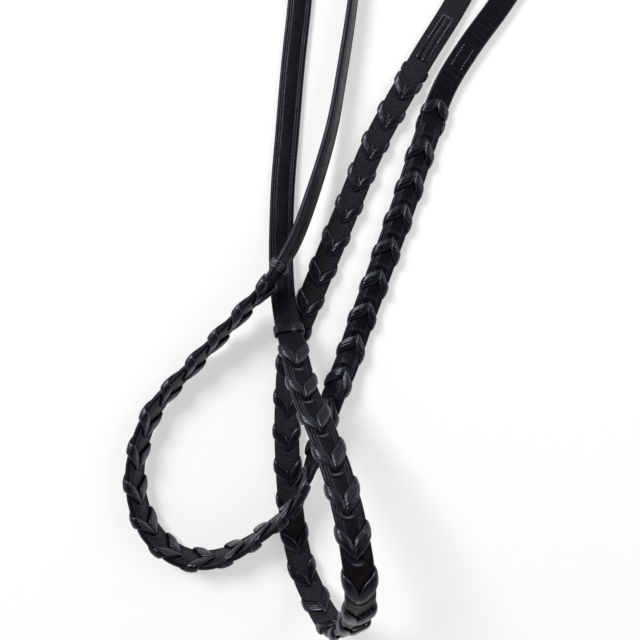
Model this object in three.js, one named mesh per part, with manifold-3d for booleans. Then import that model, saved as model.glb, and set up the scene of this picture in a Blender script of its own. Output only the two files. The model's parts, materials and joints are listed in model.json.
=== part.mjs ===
// A pair of black laced leather reins, laid down with their bit ends and hand ends apart.
// Units are millimetres, Z is up, and the table is the plane z = 0.
import * as THREE from 'three';
import Module from 'manifold-3d';

const wasm = await Module();
wasm.setup();

// ---------------------------------------------------------------- driving dimensions
const STRAP_WIDTH = 16;
const STRAP_THICK = 3.8;
const END_THICK = 2.4;          // skived thickness of the folded buckle end
const LACE_THICK = 1.0;
const LACE_GAP = 0.55;          // clearance between lace and strap
const LACE_SPAN_FACE = 8.6;     // length of strap one lace covers while it crosses a face
const LACE_SPAN_EDGE = 7.2;
const LACE_SPAN_SLOT = 6.6;
const FACE_ADVANCE = 9.2;       // travel along the strap while crossing one face
const SLOT_ADVANCE = 2.0;
const SLOT_LENGTH = 10.4;
const SLOT_WIDTH = 3.7;
const WRAP_WIDTH = 7;           // plain band that starts the lacing
const TAIL_WIDTH = 8;           // lace ends, stitched down flat on the flesh side
const TAIL_THICK = 1.2;
const TAIL_FROM = 25;           // from the last slot
const TAIL_TO = 62;
const BAND_THICK = 1.3;
const BAND_GAP = 0.35;
const FOLD_GAP = 0.35;          // clearance between two layers of one strap
const RETURN_LENGTH = 78;       // strap end turned back behind the bit loop
const CHAPE_LENGTH = 36;        // strap end turned back behind the buckle
const STUD_AT = 46;             // hook stud, from the throat of the bit loop
const BIT_KEEPERS_AT = [20, 66];
const KEEPER_WIDTH = 7;
const WIRE = 1.3;               // radius of the buckle wire
const BUCKLE_INSIDE_WIDTH = 18;
const BUCKLE_REACH = 17;        // hinge bar to free bar
const BUCKLE_DROOP = 0.2;       // radians, free bar down to the table
const TONGUE_RADIUS = 0.95;
const LAY_X = -26.5;            // moves the lay-out so that it is centred on the origin
const LAY_Y = -170;

// Each route point is [x, y, z,  normal of the grain side], bit end first.
const ROUTE_A = [
  [-2, 384, 7.9, 0, 0, 1],
  [-4, 345, 7.9, 0, 0, 1],
  [-7, 300, 7.4, 0, 0, 1],
  [-10, 255, 3, 0, 0, 1],
  [-13.5, 210, 2.1, 0, 0, 1],
  [-18, 168, 2.1, 0, 0, 1],
  [-21.8, 123, 2.1, 0, 0, 1],
  [-24.4, 91, 3, 0, 0, 1],
  [-25.3, 68, 4.2, 0, 0, 1],
  [-25.6, 41, 5.6, 0.05, 0, 1],
  [-24, 16, 10, 0.1, 0, 1],
  [-20.6, -2.5, 20, 0.2, 0, 1],
  [-15.5, -20, 33, 0.3, 0, 1],
  [-8.5, -43, 48, 0.3, 0.1, 1],
  [1, -62, 62, 0.25, 0.1, 1],
  [8.5, -80, 73, 0.15, 0.1, 1],
  [14.5, -99, 83, 0.1, 0, 1],
  [18.6, -119, 91, 0.1, 0, 1],
  [20.3, -134, 92, 0.15, -0.15, 1],
  [20.5, -148, 85.5, 0.2, -0.5, 0.9],
  [19.5, -161, 73.5, 0.2, -0.75, 0.65],
  [16, -174.5, 57.5, 0.2, -0.95, 0.3],
  [10, -184, 40, 0.2, -1, -0.1],
  [3, -185.5, 22, 0.1, -0.85, -0.55],
  [-5, -177, 9, 0, -0.4, -1],
  [-12, -162, 4.8, 0, 0, -1],
  [-17.5, -137, 3.9, 0, 0, -1],
  [-21, -100, 3.9, 0, 0, -1],
  [-21.8, -60, 3.9, 0, 0, -1],
  [-18.2, -18, 3.9, 0, 0, -1],
  [-8, 10, 3.9, 0, 0, -1],
  [6, 44, 3.9, 0, 0, -1],
  [18, 73, 3.9, 0, 0, -1],
  [36, 116, 3.9, 0, 0, -1],
  [66, 170, 3.9, 0, 0, -1],
  [91, 211, 2.4, 0, 0, -1],
  [112, 253, 2.1, 0, 0, -1],
  [124, 302, 2.1, 0, 0, -1],
  [125, 352, 2.1, 0, 0, -1],
  [115.6, 486, 2.1, 0, 0, -1],
];
const ROUTE_B = [
  [42.5, 410, 10.2, 1, -0.1, 0.03],
  [38.5, 370, 10.2, 1, -0.1, 0.03],
  [33.5, 320, 10.2, 1, -0.1, 0.1],
  [27, 260, 9.3, 1, 0, 0.25],
  [21.3, 207, 9, 1, 0, 0.25],
  [15, 165, 10, 1, 0, 0.27],
  [7, 121, 12.5, 1, 0, 0.3],
  [-9.5, 66, 20, 0.9, -0.3, 0.38],
  [-17, 47, 24, 0.8, -0.5, 0.38],
  [-25.2, 33, 26, 0.75, -0.6, 0.3],
  [-34.4, 20, 25.5, 0.7, -0.7, 0.22],
  [-49.2, 4.7, 20.5, 0.7, -0.7, 0.2],
  [-79.6, -26.4, 12, 0.7, -0.7, 0.22],
  [-107, -57.4, 10.5, 0.9, -0.4, 0.36],
  [-116, -78, 10.5, 1, -0.2, 0.4],
  [-119.8, -97, 10.5, 1, 0, 0.4],
  [-118, -117.5, 10.5, 1, 0.2, 0.4],
  [-109.3, -137.6, 10.5, 0.7, 0.7, 0.4],
  [-92, -152.5, 10.5, 0.3, 1, 0.35],
  [-72.7, -155.5, 10.5, -0.1, 1, 0.3],
  [-54.9, -149.8, 11, -0.4, 0.9, 0.25],
  [-36.3, -136.6, 15, -0.6, 0.8, 0.15],
  [-18.2, -119.4, 18.4, -0.8, 0.6, 0.1],
  [-12.1, -108, 17.5, -0.9, 0.5, 0.15],
  [-7.4, -97.6, 15.8, -0.9, 0.4, 0.3],
  [-1.3, -80.6, 12, -0.8, 0.3, 0.6],
  [7, -54, 8.5, -0.5, 0.2, 0.9],
  [17, -30, 5.6, -0.2, 0.1, 1],
  [25, -7, 4.2, 0, 0, 1],
  [40, 33.7, 3.9, 0, 0, 1],
  [55.5, 76.6, 3.9, 0, 0, 1],
  [69.3, 118.2, 3.9, 0, 0, 1],
  [82, 153, 3.9, 0, 0, 1],
  [99, 181, 3.9, 0, 0, 1],
  [119.5, 209.3, 3.8, 0, 0, 1],
  [147, 254, 2.4, 0, 0, 1],
  [165, 308, 2.1, 0, 0, 1],
  [171, 362, 3.4, 0, 0, 1],
  [169, 437, 6.5, 0, 0, 1],
  [166.1, 505, 6.5, 0, 0, 1],
];

// ---------------------------------------------------------------- frames along a strap
function makeRoute(points) {
  const places = points.map((q) => new THREE.Vector3(q[0] + LAY_X, q[1] + LAY_Y, q[2]));
  const normals = points.map((q) => new THREE.Vector3(q[3], q[4], q[5]).normalize());
  const curve = new THREE.CatmullRomCurve3(places, false, 'centripetal');
  const spans = points.length - 1;
  const count = spans * 24;
  const samples = [];
  let length = 0;
  for (let i = 0; i <= count; i += 1) {
    const u = i / count;
    const place = curve.getPoint(u);
    const tangent = curve.getTangent(u);
    const span = Math.min(Math.floor(u * spans), spans - 1);
    const part = u * spans - span;
    const blend = part * part * (3 - 2 * part);
    const normal = normals[span].clone().lerp(normals[span + 1], blend);
    if (i > 0) length += place.distanceTo(samples[i - 1].place);
    samples.push({ place, tangent, normal, length });
  }
  return { samples, length };
}

function squareUp(place, tangent, normal) {
  const along = tangent.clone().normalize();
  const up = normal.clone().addScaledVector(along, -normal.dot(along)).normalize();
  return { place, along, up, side: along.clone().cross(up) };
}

function frameAt(route, distance) {
  const { samples } = route;
  let low = 0;
  let high = samples.length - 1;
  while (high - low > 1) {
    const middle = (low + high) >> 1;
    if (samples[middle].length > distance) high = middle;
    else low = middle;
  }
  const a = samples[low];
  const b = samples[high];
  const part = (distance - a.length) / (b.length - a.length);
  return squareUp(
    a.place.clone().lerp(b.place, part),
    a.tangent.clone().lerp(b.tangent, part),
    a.normal.clone().lerp(b.normal, part),
  );
}

function offset(frame, along, side, up) {
  return frame.place.clone()
    .addScaledVector(frame.along, along)
    .addScaledVector(frame.side, side)
    .addScaledVector(frame.up, up);
}

// Distances along a route, close together only where the strap bends or twists.
function stepsAlong(route, from, to) {
  const steps = [from];
  let last = frameAt(route, from);
  let at = from;
  for (let d = from + 1; d < to - 3; d += 1) {
    const now = frameAt(route, d);
    const turn = now.along.angleTo(last.along) + 3 * Math.abs(now.side.dot(last.up));
    if (turn > 0.08 || d - at > 18) {
      steps.push(d);
      last = now;
      at = d;
    }
  }
  steps.push(to);
  return steps;
}

// ---------------------------------------------------------------- solids
function solidFrom(corners, faces) {
  const positions = new Float32Array(corners.flatMap((c) => [c.x, c.y, c.z]));
  const volume = faces.reduce((sum, [a, b, c]) => (
    sum + corners[a].dot(corners[b].clone().cross(corners[c]))
  ), 0);
  const outward = volume > 0 ? faces : faces.map(([a, b, c]) => [a, c, b]);
  const mesh = new wasm.Mesh({
    numProp: 3,
    vertProperties: positions,
    triVerts: new Uint32Array(outward.flat()),
  });
  mesh.merge();
  return new wasm.Manifold(mesh);
}

// Joins rings of equal size into one closed skin with flat ends.
function loft(rings) {
  const size = rings[0].length;
  const faces = [];
  for (let r = 0; r + 1 < rings.length; r += 1) {
    for (let k = 0; k < size; k += 1) {
      const a = r * size + k;
      const b = r * size + ((k + 1) % size);
      faces.push([a, b, b + size], [a, b + size, a + size]);
    }
  }
  const end = (rings.length - 1) * size;
  for (let k = 1; k + 1 < size; k += 1) {
    faces.push([0, k + 1, k], [end, end + k, end + k + 1]);
  }
  return solidFrom(rings.flat(), faces);
}

function sectionRing(frame, width, thick) {
  return [
    offset(frame, 0, -width / 2, -thick / 2),
    offset(frame, 0, width / 2, -thick / 2),
    offset(frame, 0, width / 2, thick / 2),
    offset(frame, 0, -width / 2, thick / 2),
  ];
}

function blockAt(frame, length, width, height) {
  const ends = [-length / 2, length / 2];
  return loft(ends.map((x) => sectionRing(
    { ...frame, place: offset(frame, x, 0, 0) },
    width,
    height,
  )));
}

function rodBetween(from, to, radius) {
  const axis = to.clone().sub(from);
  const turn = new THREE.Quaternion()
    .setFromUnitVectors(new THREE.Vector3(0, 0, 1), axis.clone().normalize());
  const rings = [from, to].map((end) => {
    const ring = [];
    for (let k = 0; k < 12; k += 1) {
      const angle = (k / 12) * Math.PI * 2;
      const spoke = new THREE.Vector3(Math.cos(angle) * radius, Math.sin(angle) * radius, 0);
      ring.push(spoke.applyQuaternion(turn).add(end));
    }
    return ring;
  });
  return loft(rings);
}

// ---------------------------------------------------------------- strap ends
// A side view of a turned-back end: [distance beyond the end, height above the strap].
function foldFrames(end, outline) {
  const points = outline.map(([x, y]) => new THREE.Vector3(x, y, 0));
  const curve = new THREE.CatmullRomCurve3(points, false, 'centripetal');
  const frames = [];
  for (let i = 1; i < 20; i += 1) {
    const flat = curve.getPoint(i / 20);
    const heading = curve.getTangent(i / 20);
    const along = end.along.clone().multiplyScalar(heading.x).addScaledVector(end.up, heading.y);
    const up = end.along.clone().multiplyScalar(-heading.y).addScaledVector(end.up, heading.x);
    const place = offset(end, flat.x, 0, flat.y);
    frames.push({ place, along, up, side: end.side.clone() });
  }
  return frames;
}

function reversed(frame) {
  return {
    place: frame.place.clone(),
    along: frame.along.clone().negate(),
    up: frame.up.clone(),
    side: frame.side.clone().negate(),
  };
}

function turnedBack(frame, drop) {
  return {
    place: offset(frame, 0, 0, -drop),
    along: frame.along.clone().negate(),
    up: frame.up.clone().negate(),
    side: frame.side.clone(),
  };
}

const BIT_LAYER_DROP = STRAP_THICK + FOLD_GAP;
const BIT_LOOP = [
  [0, 0], [8, 3], [15, 5.4], [22, 4.4], [25.5, 0],
  [22, -4.6], [15, -5.8], [8, -5.2], [0, -BIT_LAYER_DROP],
];
const CHAPE_DROP = (STRAP_THICK + END_THICK) / 2 + FOLD_GAP;
const BAR_X = 7.5;
const BAR_Y = -CHAPE_DROP / 2;
const BAR_ROOM = WIRE + 0.55 + END_THICK / 2;
const CHAPE_LOOP = [
  [0, 0], [4, 0.4], [BAR_X, BAR_Y + BAR_ROOM], [BAR_X + BAR_ROOM, BAR_Y],
  [BAR_X, BAR_Y - BAR_ROOM], [4, -CHAPE_DROP - 0.4], [0, -CHAPE_DROP],
];

// The strap end passed through the bit ring, turned back and hooked on its stud.
function bitEndRings(route) {
  const rings = [];
  const throat = reversed(frameAt(route, 0));
  for (const d of [RETURN_LENGTH, RETURN_LENGTH - 4, RETURN_LENGTH - 11, 52, 26, 0]) {
    const frame = turnedBack(frameAt(route, d), BIT_LAYER_DROP);
    const left = RETURN_LENGTH - d;
    const width = Math.min(STRAP_WIDTH, 7 + left * 0.9);
    rings.push(sectionRing(frame, width, STRAP_THICK));
  }
  const loop = foldFrames(throat, BIT_LOOP).reverse();
  for (const frame of loop) {
    const onward = { ...frame, along: frame.along.clone().negate(), side: frame.side.clone().negate() };
    rings.push(sectionRing(onward, STRAP_WIDTH, STRAP_THICK));
  }
  return rings;
}

function handEndRings(route) {
  const rings = [];
  const end = frameAt(route, route.length);
  for (const frame of foldFrames(end, CHAPE_LOOP)) {
    rings.push(sectionRing(frame, STRAP_WIDTH, END_THICK));
  }
  for (const d of [0, 12, 24, CHAPE_LENGTH - 5, CHAPE_LENGTH]) {
    const frame = turnedBack(frameAt(route, route.length - d), CHAPE_DROP);
    const width = d === CHAPE_LENGTH ? STRAP_WIDTH - 6 : STRAP_WIDTH;
    rings.push(sectionRing(frame, width, END_THICK));
  }
  return rings;
}

// ---------------------------------------------------------------- the straps
function cutSlots(strap, rein) {
  const cutters = [];
  for (let n = 0; n <= rein.turns; n += 1) {
    const frame = frameAt(rein.route, rein.firstSlot + n * rein.pitch);
    cutters.push(blockAt(frame, SLOT_LENGTH, SLOT_WIDTH, STRAP_THICK + 3));
  }
  return strap.subtract(wasm.Manifold.union(cutters));
}

function cutStudHole(strap, route) {
  const frame = frameAt(route, STUD_AT);
  const top = offset(frame, 0, 0, 6);
  const bottom = offset(frame, 0, 0, -12);
  return strap.subtract(rodBetween(bottom, top, 2.2));
}

function strapWithPoint(rein) {
  const { route } = rein;
  const rings = bitEndRings(route);
  for (const d of stepsAlong(route, 0, route.length - 12)) {
    rings.push(sectionRing(frameAt(route, d), STRAP_WIDTH, STRAP_THICK));
  }
  rings.push(sectionRing(frameAt(route, route.length - 5), STRAP_WIDTH * 0.8, STRAP_THICK));
  rings.push(sectionRing(frameAt(route, route.length), STRAP_WIDTH * 0.34, STRAP_THICK));
  const strap = cutStudHole(cutSlots(loft(rings), rein), route);
  const holes = [24, 44, 64].map((back) => {
    const frame = frameAt(route, route.length - back);
    return rodBetween(offset(frame, 0, 0, -4), offset(frame, 0, 0, 4), 1.8);
  });
  return strap.subtract(wasm.Manifold.union(holes));
}

function strapWithChape(rein) {
  const { route } = rein;
  const rings = bitEndRings(route);
  for (const d of stepsAlong(route, 0, route.length)) {
    rings.push(sectionRing(frameAt(route, d), STRAP_WIDTH, STRAP_THICK));
  }
  rings.push(...handEndRings(route));
  const strap = cutStudHole(cutSlots(loft(rings), rein), route);
  const end = frameAt(route, route.length);
  const tongueRoom = blockAt(
    { ...end, place: offset(end, 9.5, 0, BAR_Y) },
    11,
    TONGUE_RADIUS * 2 + 1.6,
    14,
  );
  return strap.subtract(tongueRoom);
}

// ---------------------------------------------------------------- the lacing
// One turn of a lace round its half of the strap, seen in section:
// [distance from the middle, height, travel along the strap, length of strap covered].
function laceTurn(pitch) {
  const lift = LACE_GAP + LACE_THICK / 2;
  const face = STRAP_THICK / 2 + lift;
  const edge = STRAP_WIDTH / 2 + lift;
  const inner = 0.2 + LACE_THICK / 2;
  const edgeAdvance = (pitch - 2 * FACE_ADVANCE - SLOT_ADVANCE) / 2;
  const slot = -SLOT_ADVANCE / 2;
  return [
    [edge, 0, slot - FACE_ADVANCE - edgeAdvance * 0.9, LACE_SPAN_EDGE],
    [edge, STRAP_THICK / 2 + 0.2, slot - FACE_ADVANCE - edgeAdvance * 0.5, LACE_SPAN_EDGE],
    [edge - 0.75, face, slot - FACE_ADVANCE, LACE_SPAN_FACE],
    [inner + 1.5, face, slot - 1, LACE_SPAN_FACE],
    [inner, STRAP_THICK / 2 + 0.3, slot, LACE_SPAN_SLOT],
    [inner, -STRAP_THICK / 2 - 0.3, slot + SLOT_ADVANCE, LACE_SPAN_SLOT],
    [inner + 1.5, -face, slot + SLOT_ADVANCE + 1, LACE_SPAN_FACE],
    [edge - 0.75, -face, slot + SLOT_ADVANCE + FACE_ADVANCE, LACE_SPAN_FACE],
    [edge, -STRAP_THICK / 2 - 0.2, slot + SLOT_ADVANCE + FACE_ADVANCE + edgeAdvance * 0.5,
      LACE_SPAN_EDGE],
  ];
}

function laceOutward(turn, i) {
  const before = turn[(i + turn.length - 1) % turn.length];
  const here = turn[i];
  const after = turn[(i + 1) % turn.length];
  const into = new THREE.Vector2(here[0] - before[0], here[1] - before[1]).normalize();
  const onward = new THREE.Vector2(after[0] - here[0], after[1] - here[1]).normalize();
  const both = into.clone().add(onward).normalize();
  const mitre = Math.max(0.7, both.dot(into));
  return new THREE.Vector2(-both.y, both.x).divideScalar(mitre);
}

function lace(rein, hand) {
  const turn = laceTurn(rein.pitch);
  const rings = [];
  for (let n = 0; n <= rein.turns; n += 1) {
    turn.forEach(([side, up, travel, span], i) => {
      const outward = laceOutward(turn, i);
      const middle = rein.firstSlot + n * rein.pitch + travel;
      const ring = [[-1, -1], [1, -1], [1, 1], [-1, 1]].map(([end, layer]) => {
        const frame = frameAt(rein.route, middle + (end * span) / 2);
        const reach = (layer * LACE_THICK) / 2;
        return offset(frame, 0, hand * (side + outward.x * reach), up + outward.y * reach);
      });
      rings.push(ring);
    });
  }
  return loft(rings);
}

// A plain band round one or two layers of strap.
function bandRound(frame, length, top, bottom, gap, thick) {
  const middle = { ...frame, place: offset(frame, 0, 0, (top + bottom) / 2) };
  const width = STRAP_WIDTH + gap * 2;
  const height = top - bottom + gap * 2;
  const outside = blockAt(middle, length, width + thick * 2, height + thick * 2);
  return outside.subtract(blockAt(middle, length + 4, width, height));
}

function laceBand(route, distance) {
  const half = STRAP_THICK / 2;
  return bandRound(frameAt(route, distance), WRAP_WIDTH, half, -half, LACE_GAP, LACE_THICK);
}

// The last crossing of the lace ends, over the grain side, where they go down through the strap.
function laceEndCross(route, distance) {
  const frame = frameAt(route, distance);
  const lift = STRAP_THICK / 2 + LACE_GAP + LACE_THICK / 2;
  return blockAt({ ...frame, place: offset(frame, 0, 0, lift) }, WRAP_WIDTH, STRAP_WIDTH, LACE_THICK);
}

function laceTail(route, from, to) {
  const drop = STRAP_THICK / 2 + LACE_GAP + TAIL_THICK / 2;
  const rings = stepsAlong(route, from, to).map((d) => {
    const frame = frameAt(route, d);
    return sectionRing({ ...frame, place: offset(frame, 0, 0, -drop) }, TAIL_WIDTH, TAIL_THICK);
  });
  return loft(rings);
}

// ---------------------------------------------------------------- the bit ends
function bitKeeper(route, distance) {
  const half = STRAP_THICK / 2;
  const frame = frameAt(route, distance);
  return bandRound(frame, KEEPER_WIDTH, half, -half - BIT_LAYER_DROP, BAND_GAP, BAND_THICK);
}

function hookStud(route) {
  const frame = frameAt(route, STUD_AT);
  const half = STRAP_THICK / 2;
  const under = -half - BIT_LAYER_DROP - 0.3;
  const post = rodBetween(offset(frame, 0, 0, under - 0.6), offset(frame, 0, 0, half + 0.8), 1.7);
  const cap = rodBetween(offset(frame, 0, 0, half + 0.3), offset(frame, 0, 0, half + 1.3), 3.6);
  const head = blockAt(
    { ...frame, place: offset(frame, -2.5, 0, under - 0.6) },
    11,
    6,
    1.2,
  );
  return wasm.Manifold.union([post, cap, head]);
}

// ---------------------------------------------------------------- the buckle
function hingeFrame(route) {
  const end = frameAt(route, route.length);
  const place = offset(end, BAR_X, 0, BAR_Y);
  const along = end.along.clone().applyAxisAngle(end.side, -BUCKLE_DROOP);
  const up = end.up.clone().applyAxisAngle(end.side, -BUCKLE_DROOP);
  return { place, along, up, side: end.side };
}

function buckleFrame(route) {
  const hinge = hingeFrame(route);
  const half = BUCKLE_INSIDE_WIDTH / 2 + WIRE;
  const soft = 3;
  const outline = [
    [0, half - 0.9], [0.9, half],
    [BUCKLE_REACH - soft, half], [BUCKLE_REACH - 0.9, half - 0.9], [BUCKLE_REACH, half - soft],
    [BUCKLE_REACH, soft - half], [BUCKLE_REACH - 0.9, 0.9 - half], [BUCKLE_REACH - soft, -half],
    [0.9, -half], [0, 0.9 - half],
  ];
  const corners = [];
  const faces = [];
  const sides = 10;
  outline.forEach(([x, y], i) => {
    const before = outline[(i + outline.length - 1) % outline.length];
    const after = outline[(i + 1) % outline.length];
    const heading = new THREE.Vector2(after[0] - before[0], after[1] - before[1]).normalize();
    for (let k = 0; k < sides; k += 1) {
      const angle = (k / sides) * Math.PI * 2;
      const reach = Math.cos(angle) * WIRE;
      corners.push(offset(
        hinge,
        x - heading.y * reach,
        y + heading.x * reach,
        Math.sin(angle) * WIRE,
      ));
      const next = (i + 1) % outline.length;
      const a = i * sides + k;
      const b = i * sides + ((k + 1) % sides);
      const c = next * sides + ((k + 1) % sides);
      const d = next * sides + k;
      faces.push([a, b, c], [a, c, d]);
    }
  });
  return solidFrom(corners, faces);
}

function buckleTongue(route) {
  const hinge = hingeFrame(route);
  const inside = WIRE + 0.3;
  const outside = inside + TONGUE_RADIUS * 1.6;
  const halfWidth = TONGUE_RADIUS;
  const eye = rodBetween(offset(hinge, 0, -halfWidth, 0), offset(hinge, 0, halfWidth, 0), outside);
  const bore = rodBetween(offset(hinge, 0, -3, 0), offset(hinge, 0, 3, 0), inside);
  const lift = WIRE + 0.3 + TONGUE_RADIUS;
  const pin = rodBetween(
    offset(hinge, 1, 0, lift - 0.2),
    offset(hinge, BUCKLE_REACH + 1.6, 0, lift + 0.1),
    TONGUE_RADIUS,
  );
  return wasm.Manifold.union([eye, pin]).subtract(bore);
}

function chapeKeeper(route, back) {
  const half = STRAP_THICK / 2;
  const bottom = -CHAPE_DROP - END_THICK / 2;
  const frame = frameAt(route, route.length - back);
  return bandRound(frame, KEEPER_WIDTH, half + 3.4, bottom, BAND_GAP, BAND_THICK);
}

// ---------------------------------------------------------------- materials and assembly
const materials = {
  strap: new THREE.MeshStandardMaterial({ color: 0x17181b, roughness: 0.45 }),
  lace: new THREE.MeshStandardMaterial({ color: 0x141519, roughness: 0.35 }),
  keeper: new THREE.MeshStandardMaterial({ color: 0x15161a, roughness: 0.4 }),
  steel: new THREE.MeshStandardMaterial({ color: 0xb9bcc0, roughness: 0.25, metalness: 1 }),
};

function toMesh(name, solid, material) {
  const { vertProperties, triVerts, numProp } = solid.getMesh();
  const positions = [];
  for (const vertex of triVerts) {
    const at = vertex * numProp;
    positions.push(vertProperties[at], vertProperties[at + 1], vertProperties[at + 2]);
  }
  const geometry = new THREE.BufferGeometry();
  geometry.setAttribute('position', new THREE.Float32BufferAttribute(positions, 3));
  geometry.computeVertexNormals();
  const mesh = new THREE.Mesh(geometry, material);
  mesh.name = name;
  return mesh;
}

function addRein(group, rein, strap) {
  const { letter, route, firstSlot } = rein;
  const lastSlot = firstSlot + rein.turns * rein.pitch;
  group.add(toMesh(`rein_strap_${letter}`, strap, materials.strap));
  group.add(toMesh(`lace_left_${letter}`, lace(rein, -1), materials.lace));
  group.add(toMesh(`lace_right_${letter}`, lace(rein, 1), materials.lace));
  group.add(toMesh(`lace_start_band_${letter}`, laceBand(route, firstSlot - 26), materials.lace));
  group.add(toMesh(`lace_end_cross_${letter}`, laceEndCross(route, lastSlot + 22), materials.lace));
  const tail = laceTail(route, lastSlot + TAIL_FROM, lastSlot + TAIL_TO);
  group.add(toMesh(`lace_tail_${letter}`, tail, materials.lace));
  BIT_KEEPERS_AT.forEach((d, i) => {
    group.add(toMesh(`bit_keeper_${letter}${i + 1}`, bitKeeper(route, d), materials.keeper));
  });
  group.add(toMesh(`hook_stud_${letter}`, hookStud(route), materials.steel));
}

// pitch is the distance from one V of the lacing to the next.
const REIN_A = { letter: 'a', route: makeRoute(ROUTE_A), firstSlot: 422, turns: 26, pitch: 22.39 };
const REIN_B = { letter: 'b', route: makeRoute(ROUTE_B), firstSlot: 413, turns: 24, pitch: 22.75 };
const reins = new THREE.Group();
const buckleRoute = REIN_B.route;
addRein(reins, REIN_A, strapWithPoint(REIN_A));
addRein(reins, REIN_B, strapWithChape(REIN_B));
reins.add(toMesh('chape_keeper', chapeKeeper(buckleRoute, 7), materials.keeper));
reins.add(toMesh('runner_keeper', chapeKeeper(buckleRoute, 24), materials.keeper));
reins.add(toMesh('buckle_frame', buckleFrame(buckleRoute), materials.steel));
reins.add(toMesh('buckle_tongue', buckleTongue(buckleRoute), materials.steel));

export default reins;
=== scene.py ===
"""Black laced leather reins, laid down with their bit ends and hand ends apart."""

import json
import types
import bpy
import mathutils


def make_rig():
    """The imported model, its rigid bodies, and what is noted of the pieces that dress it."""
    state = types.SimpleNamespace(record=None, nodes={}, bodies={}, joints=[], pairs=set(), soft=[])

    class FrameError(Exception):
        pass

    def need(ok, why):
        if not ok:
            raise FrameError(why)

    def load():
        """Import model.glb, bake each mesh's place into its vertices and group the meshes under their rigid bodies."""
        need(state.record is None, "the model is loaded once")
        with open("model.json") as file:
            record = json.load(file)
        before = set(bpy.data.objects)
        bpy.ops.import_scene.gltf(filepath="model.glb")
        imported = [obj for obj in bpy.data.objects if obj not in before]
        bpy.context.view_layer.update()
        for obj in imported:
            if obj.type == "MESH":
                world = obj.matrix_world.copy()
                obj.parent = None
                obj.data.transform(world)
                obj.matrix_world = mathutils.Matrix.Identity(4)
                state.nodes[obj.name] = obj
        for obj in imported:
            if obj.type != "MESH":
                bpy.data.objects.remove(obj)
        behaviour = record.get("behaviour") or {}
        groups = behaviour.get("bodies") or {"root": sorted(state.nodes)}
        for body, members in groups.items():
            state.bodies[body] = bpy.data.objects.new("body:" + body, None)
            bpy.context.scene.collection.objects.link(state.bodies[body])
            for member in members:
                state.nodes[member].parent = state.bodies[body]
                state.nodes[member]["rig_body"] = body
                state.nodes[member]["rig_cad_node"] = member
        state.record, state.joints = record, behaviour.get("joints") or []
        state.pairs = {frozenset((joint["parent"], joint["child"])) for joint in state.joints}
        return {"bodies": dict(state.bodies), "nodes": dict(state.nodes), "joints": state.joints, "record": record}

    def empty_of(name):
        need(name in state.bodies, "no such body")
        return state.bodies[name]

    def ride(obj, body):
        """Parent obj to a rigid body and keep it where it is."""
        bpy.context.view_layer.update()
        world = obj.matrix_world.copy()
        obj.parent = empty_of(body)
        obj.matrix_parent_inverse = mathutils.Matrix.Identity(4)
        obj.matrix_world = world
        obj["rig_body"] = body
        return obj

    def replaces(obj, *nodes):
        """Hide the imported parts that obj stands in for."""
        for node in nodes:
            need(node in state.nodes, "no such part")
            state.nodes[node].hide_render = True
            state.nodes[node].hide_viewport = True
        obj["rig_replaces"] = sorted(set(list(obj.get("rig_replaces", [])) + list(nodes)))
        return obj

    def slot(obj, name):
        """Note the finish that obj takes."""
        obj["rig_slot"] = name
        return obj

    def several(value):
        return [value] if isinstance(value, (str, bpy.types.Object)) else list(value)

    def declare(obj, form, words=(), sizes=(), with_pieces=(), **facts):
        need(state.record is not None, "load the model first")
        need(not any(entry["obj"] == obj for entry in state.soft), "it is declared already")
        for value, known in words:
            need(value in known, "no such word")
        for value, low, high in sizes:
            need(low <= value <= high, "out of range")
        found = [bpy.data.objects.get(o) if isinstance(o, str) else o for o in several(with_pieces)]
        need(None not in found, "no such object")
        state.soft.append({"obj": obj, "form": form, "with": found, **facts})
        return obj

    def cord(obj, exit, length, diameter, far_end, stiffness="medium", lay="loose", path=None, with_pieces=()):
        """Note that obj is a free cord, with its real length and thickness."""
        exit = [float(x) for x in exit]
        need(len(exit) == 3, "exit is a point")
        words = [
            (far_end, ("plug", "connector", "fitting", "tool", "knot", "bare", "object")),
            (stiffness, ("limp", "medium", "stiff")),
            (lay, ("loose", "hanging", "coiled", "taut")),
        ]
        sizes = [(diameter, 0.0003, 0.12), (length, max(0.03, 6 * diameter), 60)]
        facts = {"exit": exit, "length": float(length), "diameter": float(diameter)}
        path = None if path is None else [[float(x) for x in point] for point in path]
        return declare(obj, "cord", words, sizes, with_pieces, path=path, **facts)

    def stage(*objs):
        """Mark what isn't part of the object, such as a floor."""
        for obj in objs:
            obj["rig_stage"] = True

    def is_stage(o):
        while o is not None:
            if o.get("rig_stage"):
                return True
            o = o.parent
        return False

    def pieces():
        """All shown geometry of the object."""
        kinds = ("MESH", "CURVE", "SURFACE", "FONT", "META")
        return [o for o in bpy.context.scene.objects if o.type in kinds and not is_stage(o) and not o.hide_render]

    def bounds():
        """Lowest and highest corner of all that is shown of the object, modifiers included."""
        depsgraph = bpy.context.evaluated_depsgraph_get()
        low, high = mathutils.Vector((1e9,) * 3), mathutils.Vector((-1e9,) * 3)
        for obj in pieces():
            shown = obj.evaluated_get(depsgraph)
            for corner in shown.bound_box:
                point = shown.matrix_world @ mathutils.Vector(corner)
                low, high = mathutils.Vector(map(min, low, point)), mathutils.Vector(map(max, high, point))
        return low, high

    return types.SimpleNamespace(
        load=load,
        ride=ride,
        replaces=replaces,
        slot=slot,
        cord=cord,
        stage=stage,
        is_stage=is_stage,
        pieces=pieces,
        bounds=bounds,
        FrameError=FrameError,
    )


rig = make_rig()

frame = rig.load()
cad_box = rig.bounds()

import bisect
import json
import math
import random
from dataclasses import dataclass

import bmesh
import bpy
from mathutils import Vector

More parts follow.
